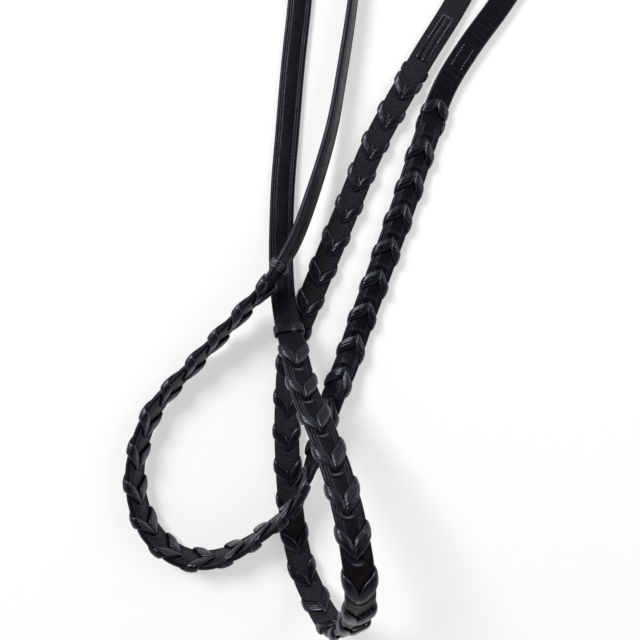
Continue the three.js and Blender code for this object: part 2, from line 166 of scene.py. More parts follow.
# ---------------------------------------------------------------- driving dimensions, in metres
MM = 0.001
STRAP_WIDTH = 16 * MM
STRAP_THICK = 3.8 * MM
END_THICK = 2.4 * MM            # skived thickness of the folded buckle end
LACE_THICK = 1.4 * MM
TAIL_WIDTH = 8 * MM
TAIL_THICK = 1.2 * MM
TAIL_FROM = 25 * MM             # from the last slot
TAIL_TO = 62 * MM
BAND_AT = 26 * MM               # start band, before the first slot
CROSS_AT = 22 * MM              # last crossing, after the last slot
FOLD_GAP = 0.35 * MM
RETURN_LENGTH = 78 * MM
CHAPE_LENGTH = 36 * MM
STUD_AT = 46 * MM
BIT_KEEPERS_AT = [20 * MM, 66 * MM]
KEEPER_WIDTH = 7 * MM
WIRE = 1.3 * MM
BUCKLE_INSIDE_WIDTH = 18 * MM
BUCKLE_REACH = 17 * MM
BUCKLE_DROOP = 0.2
TONGUE_RADIUS = 0.95 * MM
LAY = Vector((-0.0265, -0.17, 0))   # moves the lay-out so that it is centred on the origin
CAMERA_HEIGHT = 0.380
CAMERA_FIELD = 0.4267           # width of table in view
BROWN_REFLECTION_AND_WEAR_FROM = 535 * MM            # start of the painted brown reflection with wear on rein A's grain side, on the front of its loop
BROWN_REFLECTION_AND_WEAR_LENGTH = 70 * MM
BROWN_REFLECTION_AND_WEAR_EDGE = 30 * MM             # over which the painted brown reflection and wear fade in or out
GROOVES_PAST_LAST_SLOT = 10 * MM
GROOVELESS_LEVEL = 1.84         # grain side beyond the grooves, above the middle, in mm
LACE_OVERLAP = 0.55             # how far the upper lace is raised at a crossing, in mm
LACE_OVERREACH = 3.2            # how far it runs past the middle, per mm raised
FLOOR_GLOW = 0.46
WALLS = 0.36                    # brightness of the studio's walls and ceiling
CEILING = 0.02

# Each route point is (x, y, z,  normal of the grain side), bit end first.
ROUTE_A = [
    (-0.002, 0.384, 0.0079, 0, 0, 1),
    (-0.004, 0.345, 0.0079, 0, 0, 1),
    (-0.007, 0.3, 0.0074, 0, 0, 1),
    (-0.01, 0.255, 0.003, 0, 0, 1),
    (-0.0135, 0.21, 0.0021, 0, 0, 1),
    (-0.018, 0.168, 0.0021, 0, 0, 1),
    (-0.0218, 0.123, 0.0021, 0, 0, 1),
    (-0.0244, 0.091, 0.003, 0, 0, 1),
    (-0.0253, 0.068, 0.0042, 0, 0, 1),
    (-0.0256, 0.041, 0.0056, 0.05, 0, 1),
    (-0.024, 0.016, 0.01, 0.1, 0, 1),
    (-0.0206, -0.0025, 0.02, 0.2, 0, 1),
    (-0.0155, -0.02, 0.033, 0.3, 0, 1),
    (-0.0085, -0.043, 0.048, 0.3, 0.1, 1),
    (0.001, -0.062, 0.062, 0.25, 0.1, 1),
    (0.0085, -0.08, 0.073, 0.15, 0.1, 1),
    (0.0145, -0.099, 0.083, 0.1, 0, 1),
    (0.0186, -0.119, 0.091, 0.1, 0, 1),
    (0.0203, -0.134, 0.092, 0.15, -0.15, 1),
    (0.0205, -0.148, 0.0855, 0.2, -0.5, 0.9),
    (0.0195, -0.161, 0.0735, 0.2, -0.75, 0.65),
    (0.016, -0.1745, 0.0575, 0.2, -0.95, 0.3),
    (0.01, -0.184, 0.04, 0.2, -1, -0.1),
    (0.003, -0.1855, 0.022, 0.1, -0.85, -0.55),
    (-0.005, -0.177, 0.009, 0, -0.4, -1),
    (-0.012, -0.162, 0.0048, 0, 0, -1),
    (-0.0175, -0.137, 0.0039, 0, 0, -1),
    (-0.021, -0.1, 0.0039, 0, 0, -1),
    (-0.0218, -0.06, 0.0039, 0, 0, -1),
    (-0.0182, -0.018, 0.0039, 0, 0, -1),
    (-0.008, 0.01, 0.0039, 0, 0, -1),
    (0.006, 0.044, 0.0039, 0, 0, -1),
    (0.018, 0.073, 0.0039, 0, 0, -1),
    (0.036, 0.116, 0.0039, 0, 0, -1),
    (0.066, 0.17, 0.0039, 0, 0, -1),
    (0.091, 0.211, 0.0024, 0, 0, -1),
    (0.112, 0.253, 0.0021, 0, 0, -1),
    (0.124, 0.302, 0.0021, 0, 0, -1),
    (0.125, 0.352, 0.0021, 0, 0, -1),
    (0.1156, 0.486, 0.0021, 0, 0, -1),
]
ROUTE_B = [
    (0.0425, 0.41, 0.0102, 1, -0.1, 0.03),
    (0.0385, 0.37, 0.0102, 1, -0.1, 0.03),
    (0.0335, 0.32, 0.0102, 1, -0.1, 0.1),
    (0.027, 0.26, 0.0093, 1, 0, 0.25),
    (0.0213, 0.207, 0.009, 1, 0, 0.25),
    (0.015, 0.165, 0.01, 1, 0, 0.27),
    (0.007, 0.121, 0.0125, 1, 0, 0.3),
    (-0.0095, 0.066, 0.02, 0.9, -0.3, 0.38),
    (-0.017, 0.047, 0.024, 0.8, -0.5, 0.38),
    (-0.0252, 0.033, 0.026, 0.75, -0.6, 0.3),
    (-0.0344, 0.02, 0.0255, 0.7, -0.7, 0.22),
    (-0.0492, 0.0047, 0.0205, 0.7, -0.7, 0.2),
    (-0.0796, -0.0264, 0.012, 0.7, -0.7, 0.22),
    (-0.107, -0.0574, 0.0105, 0.9, -0.4, 0.36),
    (-0.116, -0.078, 0.0105, 1, -0.2, 0.4),
    (-0.1198, -0.097, 0.0105, 1, 0, 0.4),
    (-0.118, -0.1175, 0.0105, 1, 0.2, 0.4),
    (-0.1093, -0.1376, 0.0105, 0.7, 0.7, 0.4),
    (-0.092, -0.1525, 0.0105, 0.3, 1, 0.35),
    (-0.0727, -0.1555, 0.0105, -0.1, 1, 0.3),
    (-0.0549, -0.1498, 0.011, -0.4, 0.9, 0.25),
    (-0.0363, -0.1366, 0.015, -0.6, 0.8, 0.15),
    (-0.0182, -0.1194, 0.0184, -0.8, 0.6, 0.1),
    (-0.0121, -0.108, 0.0175, -0.9, 0.5, 0.15),
    (-0.0074, -0.0976, 0.0158, -0.9, 0.4, 0.3),
    (-0.0013, -0.0806, 0.012, -0.8, 0.3, 0.6),
    (0.007, -0.054, 0.0085, -0.5, 0.2, 0.9),
    (0.017, -0.03, 0.0056, -0.2, 0.1, 1),
    (0.025, -0.007, 0.0042, 0, 0, 1),
    (0.04, 0.0337, 0.0039, 0, 0, 1),
    (0.0555, 0.0766, 0.0039, 0, 0, 1),
    (0.0693, 0.1182, 0.0039, 0, 0, 1),
    (0.082, 0.153, 0.0039, 0, 0, 1),
    (0.099, 0.181, 0.0039, 0, 0, 1),
    (0.1195, 0.2093, 0.0038, 0, 0, 1),
    (0.147, 0.254, 0.0024, 0, 0, 1),
    (0.165, 0.308, 0.0021, 0, 0, 1),
    (0.171, 0.362, 0.0034, 0, 0, 1),
    (0.169, 0.437, 0.0065, 0, 0, 1),
    (0.1661, 0.505, 0.0065, 0, 0, 1),
]


# ---------------------------------------------------------------- camera
def add_camera():
    data = bpy.data.cameras.new("camera")
    data.sensor_width = 36
    data.lens = 36 * CAMERA_HEIGHT / CAMERA_FIELD
    data.clip_start = 0.01
    camera = bpy.data.objects.new("camera", data)
    camera.location = LAY + Vector((0, 0, CAMERA_HEIGHT))
    bpy.context.collection.objects.link(camera)
    bpy.context.scene.camera = camera


add_camera()


# ---------------------------------------------------------------- frames along a strap
@dataclass
class Spot:
    """A place on a strap, with its heading, its grain normal and the direction across it."""
    place: Vector
    along: Vector
    up: Vector
    side: Vector

    def at(self, side=0.0, up=0.0, along=0.0):
        return self.place + self.along * along + self.side * side + self.up * up


def spot(place, tangent, normal):
    along = tangent.normalized()
    up = (normal - along * normal.dot(along)).normalized()
    return Spot(place, along, up, along.cross(up))


def centripetal(points, at):
    """Place and heading on a centripetal Catmull-Rom curve; at counts spans from the first point."""
    span = min(int(at), len(points) - 2)
    u = at - span
    x1 = points[span]
    x2 = points[span + 1]
    x0 = points[span - 1] if span > 0 else x1 * 2 - x2
    x3 = points[span + 2] if span + 2 < len(points) else x2 * 2 - x1
    d0, d1, d2 = [math.sqrt((b - a).length) for a, b in ((x0, x1), (x1, x2), (x2, x3))]
    t1 = ((x1 - x0) / d0 - (x2 - x0) / (d0 + d1) + (x2 - x1) / d1) * d1
    t2 = ((x2 - x1) / d1 - (x3 - x1) / (d1 + d2) + (x3 - x2) / d2) * d1
    c2 = (x2 - x1) * 3 - t1 * 2 - t2
    c3 = (x1 - x2) * 2 + t1 + t2
    return x1 + t1 * u + c2 * u ** 2 + c3 * u ** 3, t1 + c2 * (2 * u) + c3 * (3 * u ** 2)


class Route:
    SAMPLES = 24

    def __init__(self, points):
        places = [Vector(p[:3]) + LAY for p in points]
        normals = [Vector(p[3:]).normalized() for p in points]
        self.samples = []
        self.lengths = []
        spans = len(points) - 1
        for i in range(spans * self.SAMPLES + 1):
            at = i / self.SAMPLES
            span = min(int(at), spans - 1)
            part = at - span
            place, tangent = centripetal(places, at)
            blend = part * part * (3 - 2 * part)
            normal = normals[span].lerp(normals[span + 1], blend)
            step = (place - self.samples[-1][0]).length if i else 0
            self.lengths.append(self.lengths[-1] + step if i else 0)
            self.samples.append((place, tangent.normalized(), normal))
        self.length = self.lengths[-1]

    def spot(self, distance):
        high = min(max(bisect.bisect(self.lengths, distance), 1), len(self.lengths) - 1)
        low = high - 1
        part = (distance - self.lengths[low]) / (self.lengths[high] - self.lengths[low])
        place, tangent, normal = [
            a.lerp(b, part) for a, b in zip(self.samples[low], self.samples[high])
        ]
        return spot(place, tangent, normal)


@dataclass
class Rein:
    letter: str
    route: Route
    first_slot: float
    turns: int
    pitch: float                # one V of the lacing to the next

    @property
    def last_slot(self):
        return self.first_slot + self.turns * self.pitch


REIN_A = Rein("a", Route(ROUTE_A), 422 * MM, 26, 22.39 * MM)
REIN_B = Rein("b", Route(ROUTE_B), 413 * MM, 24, 22.75 * MM)


# ---------------------------------------------------------------- materials
def add_node(tree, kind, inputs=None, **settings):
    node = tree.nodes.new(kind)
    for key, value in settings.items():
        setattr(node, key, value)
    for key, value in (inputs or {}).items():
        if isinstance(value, bpy.types.NodeSocket):
            tree.links.new(value, node.inputs[key])
        else:
            node.inputs[key].default_value = value
    return node


def new_material(name, **sockets):
    material = bpy.data.materials.new(name)
    material.use_nodes = True
    tree = material.node_tree
    shader = tree.nodes["Principled BSDF"]
    for key, value in sockets.items():
        shader.inputs[key.replace("_", " ")].default_value = value
    return material, tree, shader


COOL = (0.74, 0.79, 1.0, 1)        # sheen of blue-black dyed leather


def grey(level, blue=1.3):
    return (level, level, level * blue, 1)


def metres(tree):
    return add_node(tree, "ShaderNodeTexCoord").outputs["Object"]


def noise_at(tree, vector, scale, detail=3.0, rough=0.55):
    inputs = {"Vector": vector, "Scale": scale, "Detail": detail, "Roughness": rough}
    return add_node(tree, "ShaderNodeTexNoise", inputs).outputs["Fac"]


def mixed_colour(tree, factor, dark, light, low=0.3, high=0.7):
    ramp = add_node(tree, "ShaderNodeValToRGB", {"Fac": factor})
    ramp.color_ramp.elements[0].position = low
    ramp.color_ramp.elements[0].color = dark
    ramp.color_ramp.elements[1].position = high
    ramp.color_ramp.elements[1].color = light
    return ramp.outputs["Color"]


def ranged(tree, value, low, high, out_low, out_high):
    inputs = {"Value": value, "From Min": low, "From Max": high, "To Min": out_low, "To Max": out_high}
    return add_node(tree, "ShaderNodeMapRange", inputs).outputs["Result"]


def bump(tree, height, strength, distance, normal=None):
    inputs = {"Height": height, "Strength": strength, "Distance": distance}
    if normal is not None:
        inputs["Normal"] = normal
    return add_node(tree, "ShaderNodeBump", inputs).outputs["Normal"]


def lay_attribute(tree):
    """Distance along, distance across and a third value, as the mesh stores them."""
    return add_node(tree, "ShaderNodeAttribute", attribute_name="lay").outputs["Vector"]


def stretched(tree, vector, along, across):
    inputs = {0: vector, 1: (along, across, 1.0)}
    return add_node(tree, "ShaderNodeVectorMath", inputs, operation="MULTIPLY").outputs[0]


def times(tree, a, b):
    return add_node(tree, "ShaderNodeMath", {0: a, 1: b}, operation="MULTIPLY").outputs[0]


def finish_material(tree, shader, colour, roughness, normal):
    tree.links.new(colour, shader.inputs["Base Color"])
    tree.links.new(roughness, shader.inputs["Roughness"])
    tree.links.new(normal, shader.inputs["Normal"])


def grain_leather(name, level, wrinkled_from=None, brown_reflection_and_wear_at=None, lip=0.02):
    """Finished side: pebbled, creased across, browner along a stretch with a painted brown reflection and wear, and
    paler where it stands proud, with a painted highlight and paler raw fibre.
    """
    material, tree, shader = new_material(name, Specular_IOR_Level=0.3, Specular_Tint=COOL)
    place = metres(tree)
    lay = lay_attribute(tree)
    patches = noise_at(tree, place, 320, 5, 0.7)
    colour = mixed_colour(tree, patches, grey(level * 0.7), grey(level * 1.5))
    # Painted brown reflection, with wear, along a stretch of the grain: the colour mixes towards brown there.
    if brown_reflection_and_wear_at is not None:
        travel = add_node(tree, "ShaderNodeSeparateXYZ", {"Vector": lay}).outputs["X"]
        brown_reflection_and_wear_to = brown_reflection_and_wear_at + BROWN_REFLECTION_AND_WEAR_LENGTH
        into = ranged(tree, travel, brown_reflection_and_wear_at, brown_reflection_and_wear_at + BROWN_REFLECTION_AND_WEAR_EDGE, 0, 1)
        out = ranged(tree, travel, brown_reflection_and_wear_to, brown_reflection_and_wear_to + BROWN_REFLECTION_AND_WEAR_EDGE, 1, 0)
        factor = times(tree, times(tree, into, out), ranged(tree, patches, 0.3, 0.6, 0.5, 1.0))
        mix = add_node(tree, "ShaderNodeMix", data_type="RGBA")
        tree.links.new(factor, mix.inputs["Factor"])
        tree.links.new(colour, mix.inputs[6])
        # The brown of the painted reflection and wear.
        mix.inputs[7].default_value = (0.03, 0.012, 0.011, 1)
        colour = mix.outputs[2]
    # Painted highlight on the lips raised beside the slots, partly their paler raw fibre: the colour turns towards
    # grey(lip) where the grain stands proud.
    proud = add_node(tree, "ShaderNodeSeparateXYZ", {"Vector": lay}).outputs["Z"]
    raw_fibre_and_highlight_lip = add_node(tree, "ShaderNodeMix", data_type="RGBA")
    tree.links.new(ranged(tree, proud, 2.25 * MM, 2.6 * MM, 0, 0.8), raw_fibre_and_highlight_lip.inputs["Factor"])
    tree.links.new(colour, raw_fibre_and_highlight_lip.inputs[6])
    raw_fibre_and_highlight_lip.inputs[7].default_value = grey(lip, 1.1)
    gloss = ranged(tree, noise_at(tree, place, 140, 4), 0.3, 0.7, 0.32, 0.46)
    pebbles = add_node(tree, "ShaderNodeTexVoronoi", {"Vector": place, "Scale": 1300})
    normal = bump(tree, pebbles.outputs["Distance"], 0.25, 0.12 * MM)
    normal = bump(tree, noise_at(tree, place, 420, 4, 0.6), 0.3, 0.35 * MM, normal)
    creases = noise_at(tree, stretched(tree, lay, 480, 70), 1, 3, 0.5)
    if wrinkled_from is not None:
        distance = add_node(tree, "ShaderNodeSeparateXYZ", {"Vector": lay}).outputs["X"]
        amount = ranged(tree, distance, wrinkled_from, wrinkled_from + 12 * MM, 0.1, 1.2)
        creases = times(tree, creases, amount)
    else:
        creases = times(tree, creases, 0.2)
    normal = bump(tree, creases, 0.8, 1.0 * MM, normal)
    finish_material(tree, shader, raw_fibre_and_highlight_lip.outputs[2], gloss, normal)
    return material


def flesh_leather(name, level, wrinkled_from=None):
    """Unfinished side: matt and fibrous, speckled."""
    material, tree, shader = new_material(name, Specular_IOR_Level=0.25, Specular_Tint=COOL)
    place = metres(tree)
    lay = lay_attribute(tree)
    speckle = noise_at(tree, place, 900, 6, 0.8)
    colour = mixed_colour(tree, speckle, grey(level * 0.35, 1.12), grey(level * 1.9, 1.12), 0.38, 0.62)
    nap = noise_at(tree, place, 1500, 5, 0.7)
    normal = bump(tree, nap, 0.6, 0.3 * MM)
    normal = bump(tree, noise_at(tree, place, 260, 4, 0.6), 0.3, 0.5 * MM, normal)
    creases = noise_at(tree, stretched(tree, lay, 500, 60), 1, 3, 0.5)
    if wrinkled_from is not None:
        distance = add_node(tree, "ShaderNodeSeparateXYZ", {"Vector": lay}).outputs["X"]
        amount = ranged(tree, distance, wrinkled_from, wrinkled_from + 12 * MM, 0.0, 1.0)
        normal = bump(tree, times(tree, creases, amount), 1.0, 1.6 * MM, normal)
    finish_material(tree, shader, colour, ranged(tree, nap, 0.3, 0.7, 0.75, 0.95), normal)
    return material


def edge_leather():
    """Cut edge, dyed and burnished smooth."""
    material, tree, shader = new_material("strap_edge", Specular_IOR_Level=0.4, Specular_Tint=COOL)
    lay = lay_attribute(tree)
    layers = noise_at(tree, stretched(tree, lay, 60, 2500), 1, 3)
    colour = mixed_colour(tree, layers, grey(0.003), grey(0.009))
    gloss = ranged(tree, layers, 0.3, 0.7, 0.34, 0.5)
    finish_material(tree, shader, colour, gloss, bump(tree, layers, 0.3, 0.2 * MM))
    return material


def lace_leather():
    """Supple glazed lace, with fine lines along it where it has been pulled tight."""
    material, tree, shader = new_material("lace_leather", Specular_IOR_Level=0.85, Specular_Tint=COOL)
    place = metres(tree)
    lay = lay_attribute(tree)
    lines = noise_at(tree, stretched(tree, lay, 90, 1900), 1, 3, 0.6)
    patches = noise_at(tree, place, 500, 4, 0.7)
    colour = mixed_colour(tree, patches, grey(0.002, 1.25), grey(0.006, 1.25))
    gloss = ranged(tree, noise_at(tree, place, 330, 4, 0.7), 0.3, 0.7, 0.22, 0.36)
    normal = bump(tree, lines, 0.5, 0.24 * MM)
    normal = bump(tree, noise_at(tree, place, 450, 3), 0.25, 0.25 * MM, normal)
    finish_material(tree, shader, colour, gloss, normal)
    return material


def thread_fibre():
    """Pale waxed thread, laid up from twisted strands."""
    material, tree, shader = new_material("thread", Specular_IOR_Level=0.4)
    place = metres(tree)
    strands = add_node(
        tree, "ShaderNodeTexWave", {"Vector": place, "Scale": 700, "Distortion": 2.0},
        bands_direction="DIAGONAL",
    ).outputs["Fac"]
    colour = mixed_colour(tree, strands, grey(0.22, 1.0), grey(0.5, 1.0), 0.1, 0.9)
    gloss = ranged(tree, strands, 0, 1, 0.5, 0.7)
    finish_material(tree, shader, colour, gloss, bump(tree, strands, 0.5, 0.1 * MM))
    return material


def steel():
    """Polished stainless steel with faint draw lines."""
    material, tree, shader = new_material("steel", Metallic=1.0)
    place = metres(tree)
    lines = noise_at(tree, stretched(tree, place, 300, 4000), 1, 3)
    smears = noise_at(tree, place, 220, 4)
    colour = mixed_colour(tree, smears, (0.5, 0.51, 0.53, 1), (0.68, 0.69, 0.7, 1))
    gloss = ranged(tree, lines, 0.3, 0.7, 0.16, 0.32)
    finish_material(tree, shader, colour, gloss, bump(tree, lines, 0.1, 0.05 * MM))
    return material


# lip=0.15 is the level of rein A's painted highlight on its raised lips, partly paler raw fibre.
GRAIN_A = grain_leather("grain_a", 0.004, brown_reflection_and_wear_at=BROWN_REFLECTION_AND_WEAR_FROM, lip=0.15)
GRAIN_B = grain_leather("grain_b", 0.004, REIN_B.last_slot + 30 * MM)
FLESH_A = flesh_leather("flesh_a", 0.024, REIN_A.last_slot + 66 * MM)
FLESH_B = flesh_leather("flesh_b", 0.024)
EDGE = edge_leather()
LACE = lace_leather()
KEEPER = grain_leather("keeper_leather", 0.004)
THREAD = thread_fibre()
STEEL = steel()


# ---------------------------------------------------------------- meshes
def loft(bm, rings, loop=False, kinds=None):
    """Joins rings of equal size into one closed skin. Each ring holds (place, lay) pairs."""
    store = bm.verts.layers.float_vector.get("lay") or bm.verts.layers.float_vector.new("lay")
    skin = []
    for ring in rings:
        row = []
        for place, lay in ring:
            vert = bm.verts.new(place)
            vert[store] = lay
            row.append(vert)
        skin.append(row)
    size = len(skin[0])
    faces = []
    for r in range(len(skin) if loop else len(skin) - 1):
        here = skin[r]
        onward = skin[(r + 1) % len(skin)]
        for k in range(size):
            j = (k + 1) % size
            face = bm.faces.new((here[k], here[j], onward[j], onward[k]))
            face.material_index = kinds[k] if kinds else 0
            faces.append(face)
    if not loop:
        for row in (skin[0], skin[-1]):
            faces.append(bm.faces.new(row))
            faces[-1].material_index = kinds[0] if kinds else 0
    bmesh.ops.recalc_face_normals(bm, faces=faces)


def piece_from(bm, name, materials, body="reins", slot="lace_leather", nodes=()):
    mesh = bpy.data.meshes.new(name)
    bm.to_mesh(mesh)
    bm.free()
    for material in materials:
        mesh.materials.append(material)
    mesh.shade_smooth()
    piece = bpy.data.objects.new(name, mesh)
    bpy.context.collection.objects.link(piece)
    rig.ride(piece, body)
    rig.slot(piece, slot)
    if nodes:
        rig.replaces(piece, *nodes)
    return piece


def cut_out(piece, cutter_bm):
    """Takes the cutter's solids out of a piece, for good."""
    mesh = bpy.data.meshes.new("cutter")
    cutter_bm.to_mesh(mesh)
    cutter_bm.free()
    cutter = bpy.data.objects.new("cutter", mesh)
    bpy.context.collection.objects.link(cutter)
    cut = piece.modifiers.new("cut", "BOOLEAN")
    cut.operation = "DIFFERENCE"
    cut.solver = "EXACT"
    cut.object = cutter
    bpy.context.view_layer.update()
    result = piece.evaluated_get(bpy.context.evaluated_depsgraph_get())
    baked = bpy.data.meshes.new_from_object(result)
    piece.modifiers.clear()
    piece.data = baked
    bpy.data.objects.remove(cutter)


def rod_rings(points, radii, sides=14):
    """Round sections along a line of places."""
    rings = []
    for i, place in enumerate(points):
        heading = (points[min(i + 1, len(points) - 1)] - points[max(i - 1, 0)]).normalized()
        across = heading.orthogonal().normalized()
        if rings:
            across = (previous - heading * previous.dot(heading)).normalized()
        previous = across
        other = heading.cross(across)
        ring = []
        for k in range(sides):
            angle = 2 * math.pi * k / sides
            spoke = (across * math.cos(angle) + other * math.sin(angle)) * radii[i]
            ring.append((place + spoke, Vector((i * MM, k * MM, 0))))
        rings.append(ring)
    return rings


# ---------------------------------------------------------------- strap section
GRAIN, FLESH, CUT = 0, 1, 2

# Distance in from the edge and height above the middle, in mm, edge to centre.
GRAIN_HALF = [
    (0.10, 0.9), (0.35, 1.4), (0.8, 1.7), (1.5, 1.82), (2.1, 1.84), (2.32, 1.62), (2.54, 1.84),
    (3.0, 1.9), (3.5, 1.88), (3.72, 1.64), (3.94, 1.88), (4.6, 1.92), (5.5, 1.95), (6.4, 1.97),
    (7.2, 1.98), (8.0, 1.98),
]
FLESH_HALF = [
    (0.10, -0.9), (0.4, -1.45), (1.0, -1.75), (2.0, -1.86), (3.5, -1.9), (5.0, -1.9),
    (6.5, -1.9), (8.0, -1.9),
]


def strap_section():
    """Points round the section as (across, height, kind of the skin that follows), unit width."""
    def half(points, kind):
        return [(8 - inward, height, kind) for inward, height in points]

    def mirrored(points):
        return [(-across, height, kind) for across, height, kind in reversed(points[:-1])]

    grain = half(GRAIN_HALF, GRAIN)
    flesh = half(FLESH_HALF, FLESH)
    ring = [(8.0, 0.0, CUT)] + grain + mirrored(grain)
    ring += [(-8.0, 0.0, CUT)]
    ring += [(-across, height, kind) for across, height, kind in flesh]
    ring += [(across, height, kind) for across, height, kind in reversed(flesh[:-1])]
    kinds = [kind for _, _, kind in ring]
    kinds[len(grain) * 2 - 1] = CUT
    kinds[-1] = CUT
    return ring, kinds


SECTION, SECTION_KINDS = strap_section()


def bell(value, width):
    return math.exp(-((value / width) ** 2))


def dent(rein, distance, across, height):
    """How far the lacing pushes the skin in or out, in mm, at a point of the section."""
    if rein.first_slot - 20 * MM > distance or distance > rein.last_slot + 20 * MM:
        return 0.0
    turn = round((distance - rein.first_slot) / rein.pitch)
    turn = min(max(turn, 0), rein.turns)
    phase = (distance - rein.first_slot - turn * rein.pitch) / MM
    x = abs(across)
    if height < 0:
        phase = -phase
    pit = 0.8 * bell(x, 1.5) * bell(phase, 3.6) ** 2
    lip = (0.8 if height > 0 else 0.25) * bell(phase - 4.5 + 0.1 * x * x, 0.8) * bell(x, 4.6)
    crush = 0.5 * bell(x - 7.5, 2.5) * bell(abs(phase) - 10.8, 3.4)
    return lip - pit - crush


def pinch(rein, distance):
    """Width factor where the lace pulls the edges in."""
    if rein.first_slot - 14 * MM > distance or distance > rein.last_slot + 14 * MM:
        return 1.0
    phase = ((distance - rein.first_slot) / rein.pitch) % 1.0
    return 1.03 - 0.07 * bell((phase - 0.5) * rein.pitch / MM, 4.4)


def strap_ring(rein, here, distance, width=1.0, thick=STRAP_THICK):
    ring = []
    squash = thick / STRAP_THICK
    narrow = width * pinch(rein, distance)
    grooveless = distance > rein.last_slot + GROOVES_PAST_LAST_SLOT
    for across, height, _ in SECTION:
        if grooveless and height > 1.5:
            height = max(height, GROOVELESS_LEVEL)
        push = dent(rein, distance, across, height)
        level = (abs(height) + push) * (1 if height >= 0 else -1) if height else 0.0
        place = here.at(across * narrow * MM, level * squash * MM)
        ring.append((place, Vector((distance, across * MM, level * MM))))
    return ring


# ---------------------------------------------------------------- turned-back ends
BIT_DROP = STRAP_THICK + FOLD_GAP
BIT_LOOP = [
    (0, 0), (8, 3), (15, 5.4), (22, 4.4), (25.5, 0),
    (22, -4.6), (15, -5.8), (8, -5.2), (0, -BIT_DROP / MM),
]
CHAPE_DROP = (STRAP_THICK + END_THICK) / 2 + FOLD_GAP
BAR_X = 7.5 * MM
BAR_Y = -CHAPE_DROP / 2
BAR_ROOM = WIRE + 0.55 * MM + END_THICK / 2
CHAPE_LOOP = [
    (0, 0), (4, 0.4), (BAR_X / MM, (BAR_Y + BAR_ROOM) / MM), ((BAR_X + BAR_ROOM) / MM, BAR_Y / MM),
    (BAR_X / MM, (BAR_Y - BAR_ROOM) / MM), (4, -CHAPE_DROP / MM - 0.4), (0, -CHAPE_DROP / MM),
]


def fold_spots(end, outline, count=40):
    """Spots round a turned-back end, seen from the side as (beyond the end, above the strap)."""
    points = [Vector((x * MM, y * MM, 0)) for x, y in outline]
    spots = []
    for i in range(1, count):
        flat, heading = centripetal(points, (len(points) - 1) * i / count)
        heading = heading.normalized()
        along = end.along * heading.x + end.up * heading.y
        up = end.up * heading.x - end.along * heading.y
        spots.append(Spot(end.at(0, flat.y, flat.x), along, up, end.side))
    return spots


def turned_back(here, drop):
    return Spot(here.at(0, -drop), -here.along, -here.up, here.side)


def reversed_spot(here):
    return Spot(here.place, -here.along, here.up, -here.side)


def steps(start, stop, step):
    count = max(1, round((stop - start) / step))
    return [start + (stop - start) * i / count for i in range(count + 1)]


def strap_stations(rein):
    """Every ring of a strap, as (spot, distance, width factor, thickness), bit end first."""
    route = rein.route
    stations = []
    for d in reversed(steps(0, RETURN_LENGTH, 2 * MM)):
        left = RETURN_LENGTH - d
        width = min(1.0, 0.36 + math.sqrt(left / (14 * MM)) * 0.64)
        stations.append((turned_back(route.spot(d), BIT_DROP), -d - 60 * MM, width, STRAP_THICK))
    for here in reversed(fold_spots(reversed_spot(route.spot(0)), BIT_LOOP)):
        stations.append((Spot(here.place, -here.along, here.up, -here.side), 0, 1.0, STRAP_THICK))
    laced_from = rein.first_slot - 16 * MM
    laced_to = rein.last_slot + 16 * MM
    main = steps(0, laced_from, 2.5 * MM)[:-1] + steps(laced_from, laced_to, 0.9 * MM)[:-1]
    main += steps(laced_to, route.length, 2 * MM)
    for d in main:
        left = route.length - d
        width = 1.0
        thick = STRAP_THICK
        if rein is REIN_A and left < 14 * MM:
            width = 0.3 + 0.7 * math.sqrt(left / (14 * MM))
        if rein is REIN_B and left < 12 * MM:
            thick = END_THICK + (STRAP_THICK - END_THICK) * left / (12 * MM)
        stations.append((route.spot(d), d, width, thick))
    if rein is REIN_B:
        end = route.spot(route.length)
        for here in fold_spots(end, CHAPE_LOOP):
            stations.append((here, route.length, 1.0, END_THICK))
        for d in steps(0, CHAPE_LENGTH, 2 * MM):
            here = turned_back(route.spot(route.length - d), CHAPE_DROP)
            left = CHAPE_LENGTH - d
            width = min(1.0, 0.6 + 0.4 * left / (5 * MM))
            stations.append((here, route.length + d, width, END_THICK))
    return stations


def add_cutter(bm, start, stop, radius):
    loft(bm, rod_rings([start, stop], [radius, radius], 24))


def strap_piece(rein, grain, flesh, tip_holes=(), tongue_slot=False):
    stations = strap_stations(rein)
    bm = bmesh.new()
    loft(bm, [strap_ring(rein, *station) for station in stations], kinds=SECTION_KINDS)
    letter = rein.letter
    name = f"rein_{letter}"
    piece = piece_from(bm, name, [grain, flesh, EDGE], slot="strap_leather", nodes=[f"rein_strap_{letter}"])
    cutter = bmesh.new()
    stud = rein.route.spot(STUD_AT)
    add_cutter(cutter, stud.at(0, -12 * MM), stud.at(0, 6 * MM), 2.1 * MM)
    for back in tip_holes:
        here = rein.route.spot(rein.route.length - back)
        add_cutter(cutter, here.at(0, -6 * MM), here.at(0, 6 * MM), 1.8 * MM)
    if tongue_slot:
        end = rein.route.spot(rein.route.length)
        half = TONGUE_RADIUS + 0.8 * MM
        corners = [(-half, -7 * MM), (half, -7 * MM), (half, 7 * MM), (-half, 7 * MM)]
        rings = [
            [(end.at(side, BAR_Y + up, along), Vector()) for side, up in corners]
            for along in (1.5 * MM, 15 * MM)
        ]
        loft(cutter, rings)
    cut_out(piece, cutter)
    path = [here.place for here, _, _, _ in stations]
    return piece, path


# ---------------------------------------------------------------- lacing
def lace_profile():
    """Section of a lace as (across, out) from -1 to 1: domed face, margins pressed thin."""
    face = []
    for i in range(27):
        w = -0.96 + 1.92 * i / 26
        face.append((w, -0.7 + 1.95 * (1 - abs(w) ** 2.6) ** 0.55))
    back = [(0.9, -0.96), (0.4, -1.0), (0.0, -1.0), (-0.4, -1.0), (-0.9, -0.96)]
    return face + [(1.0, -0.84)] + back + [(-1.0, -0.84)]


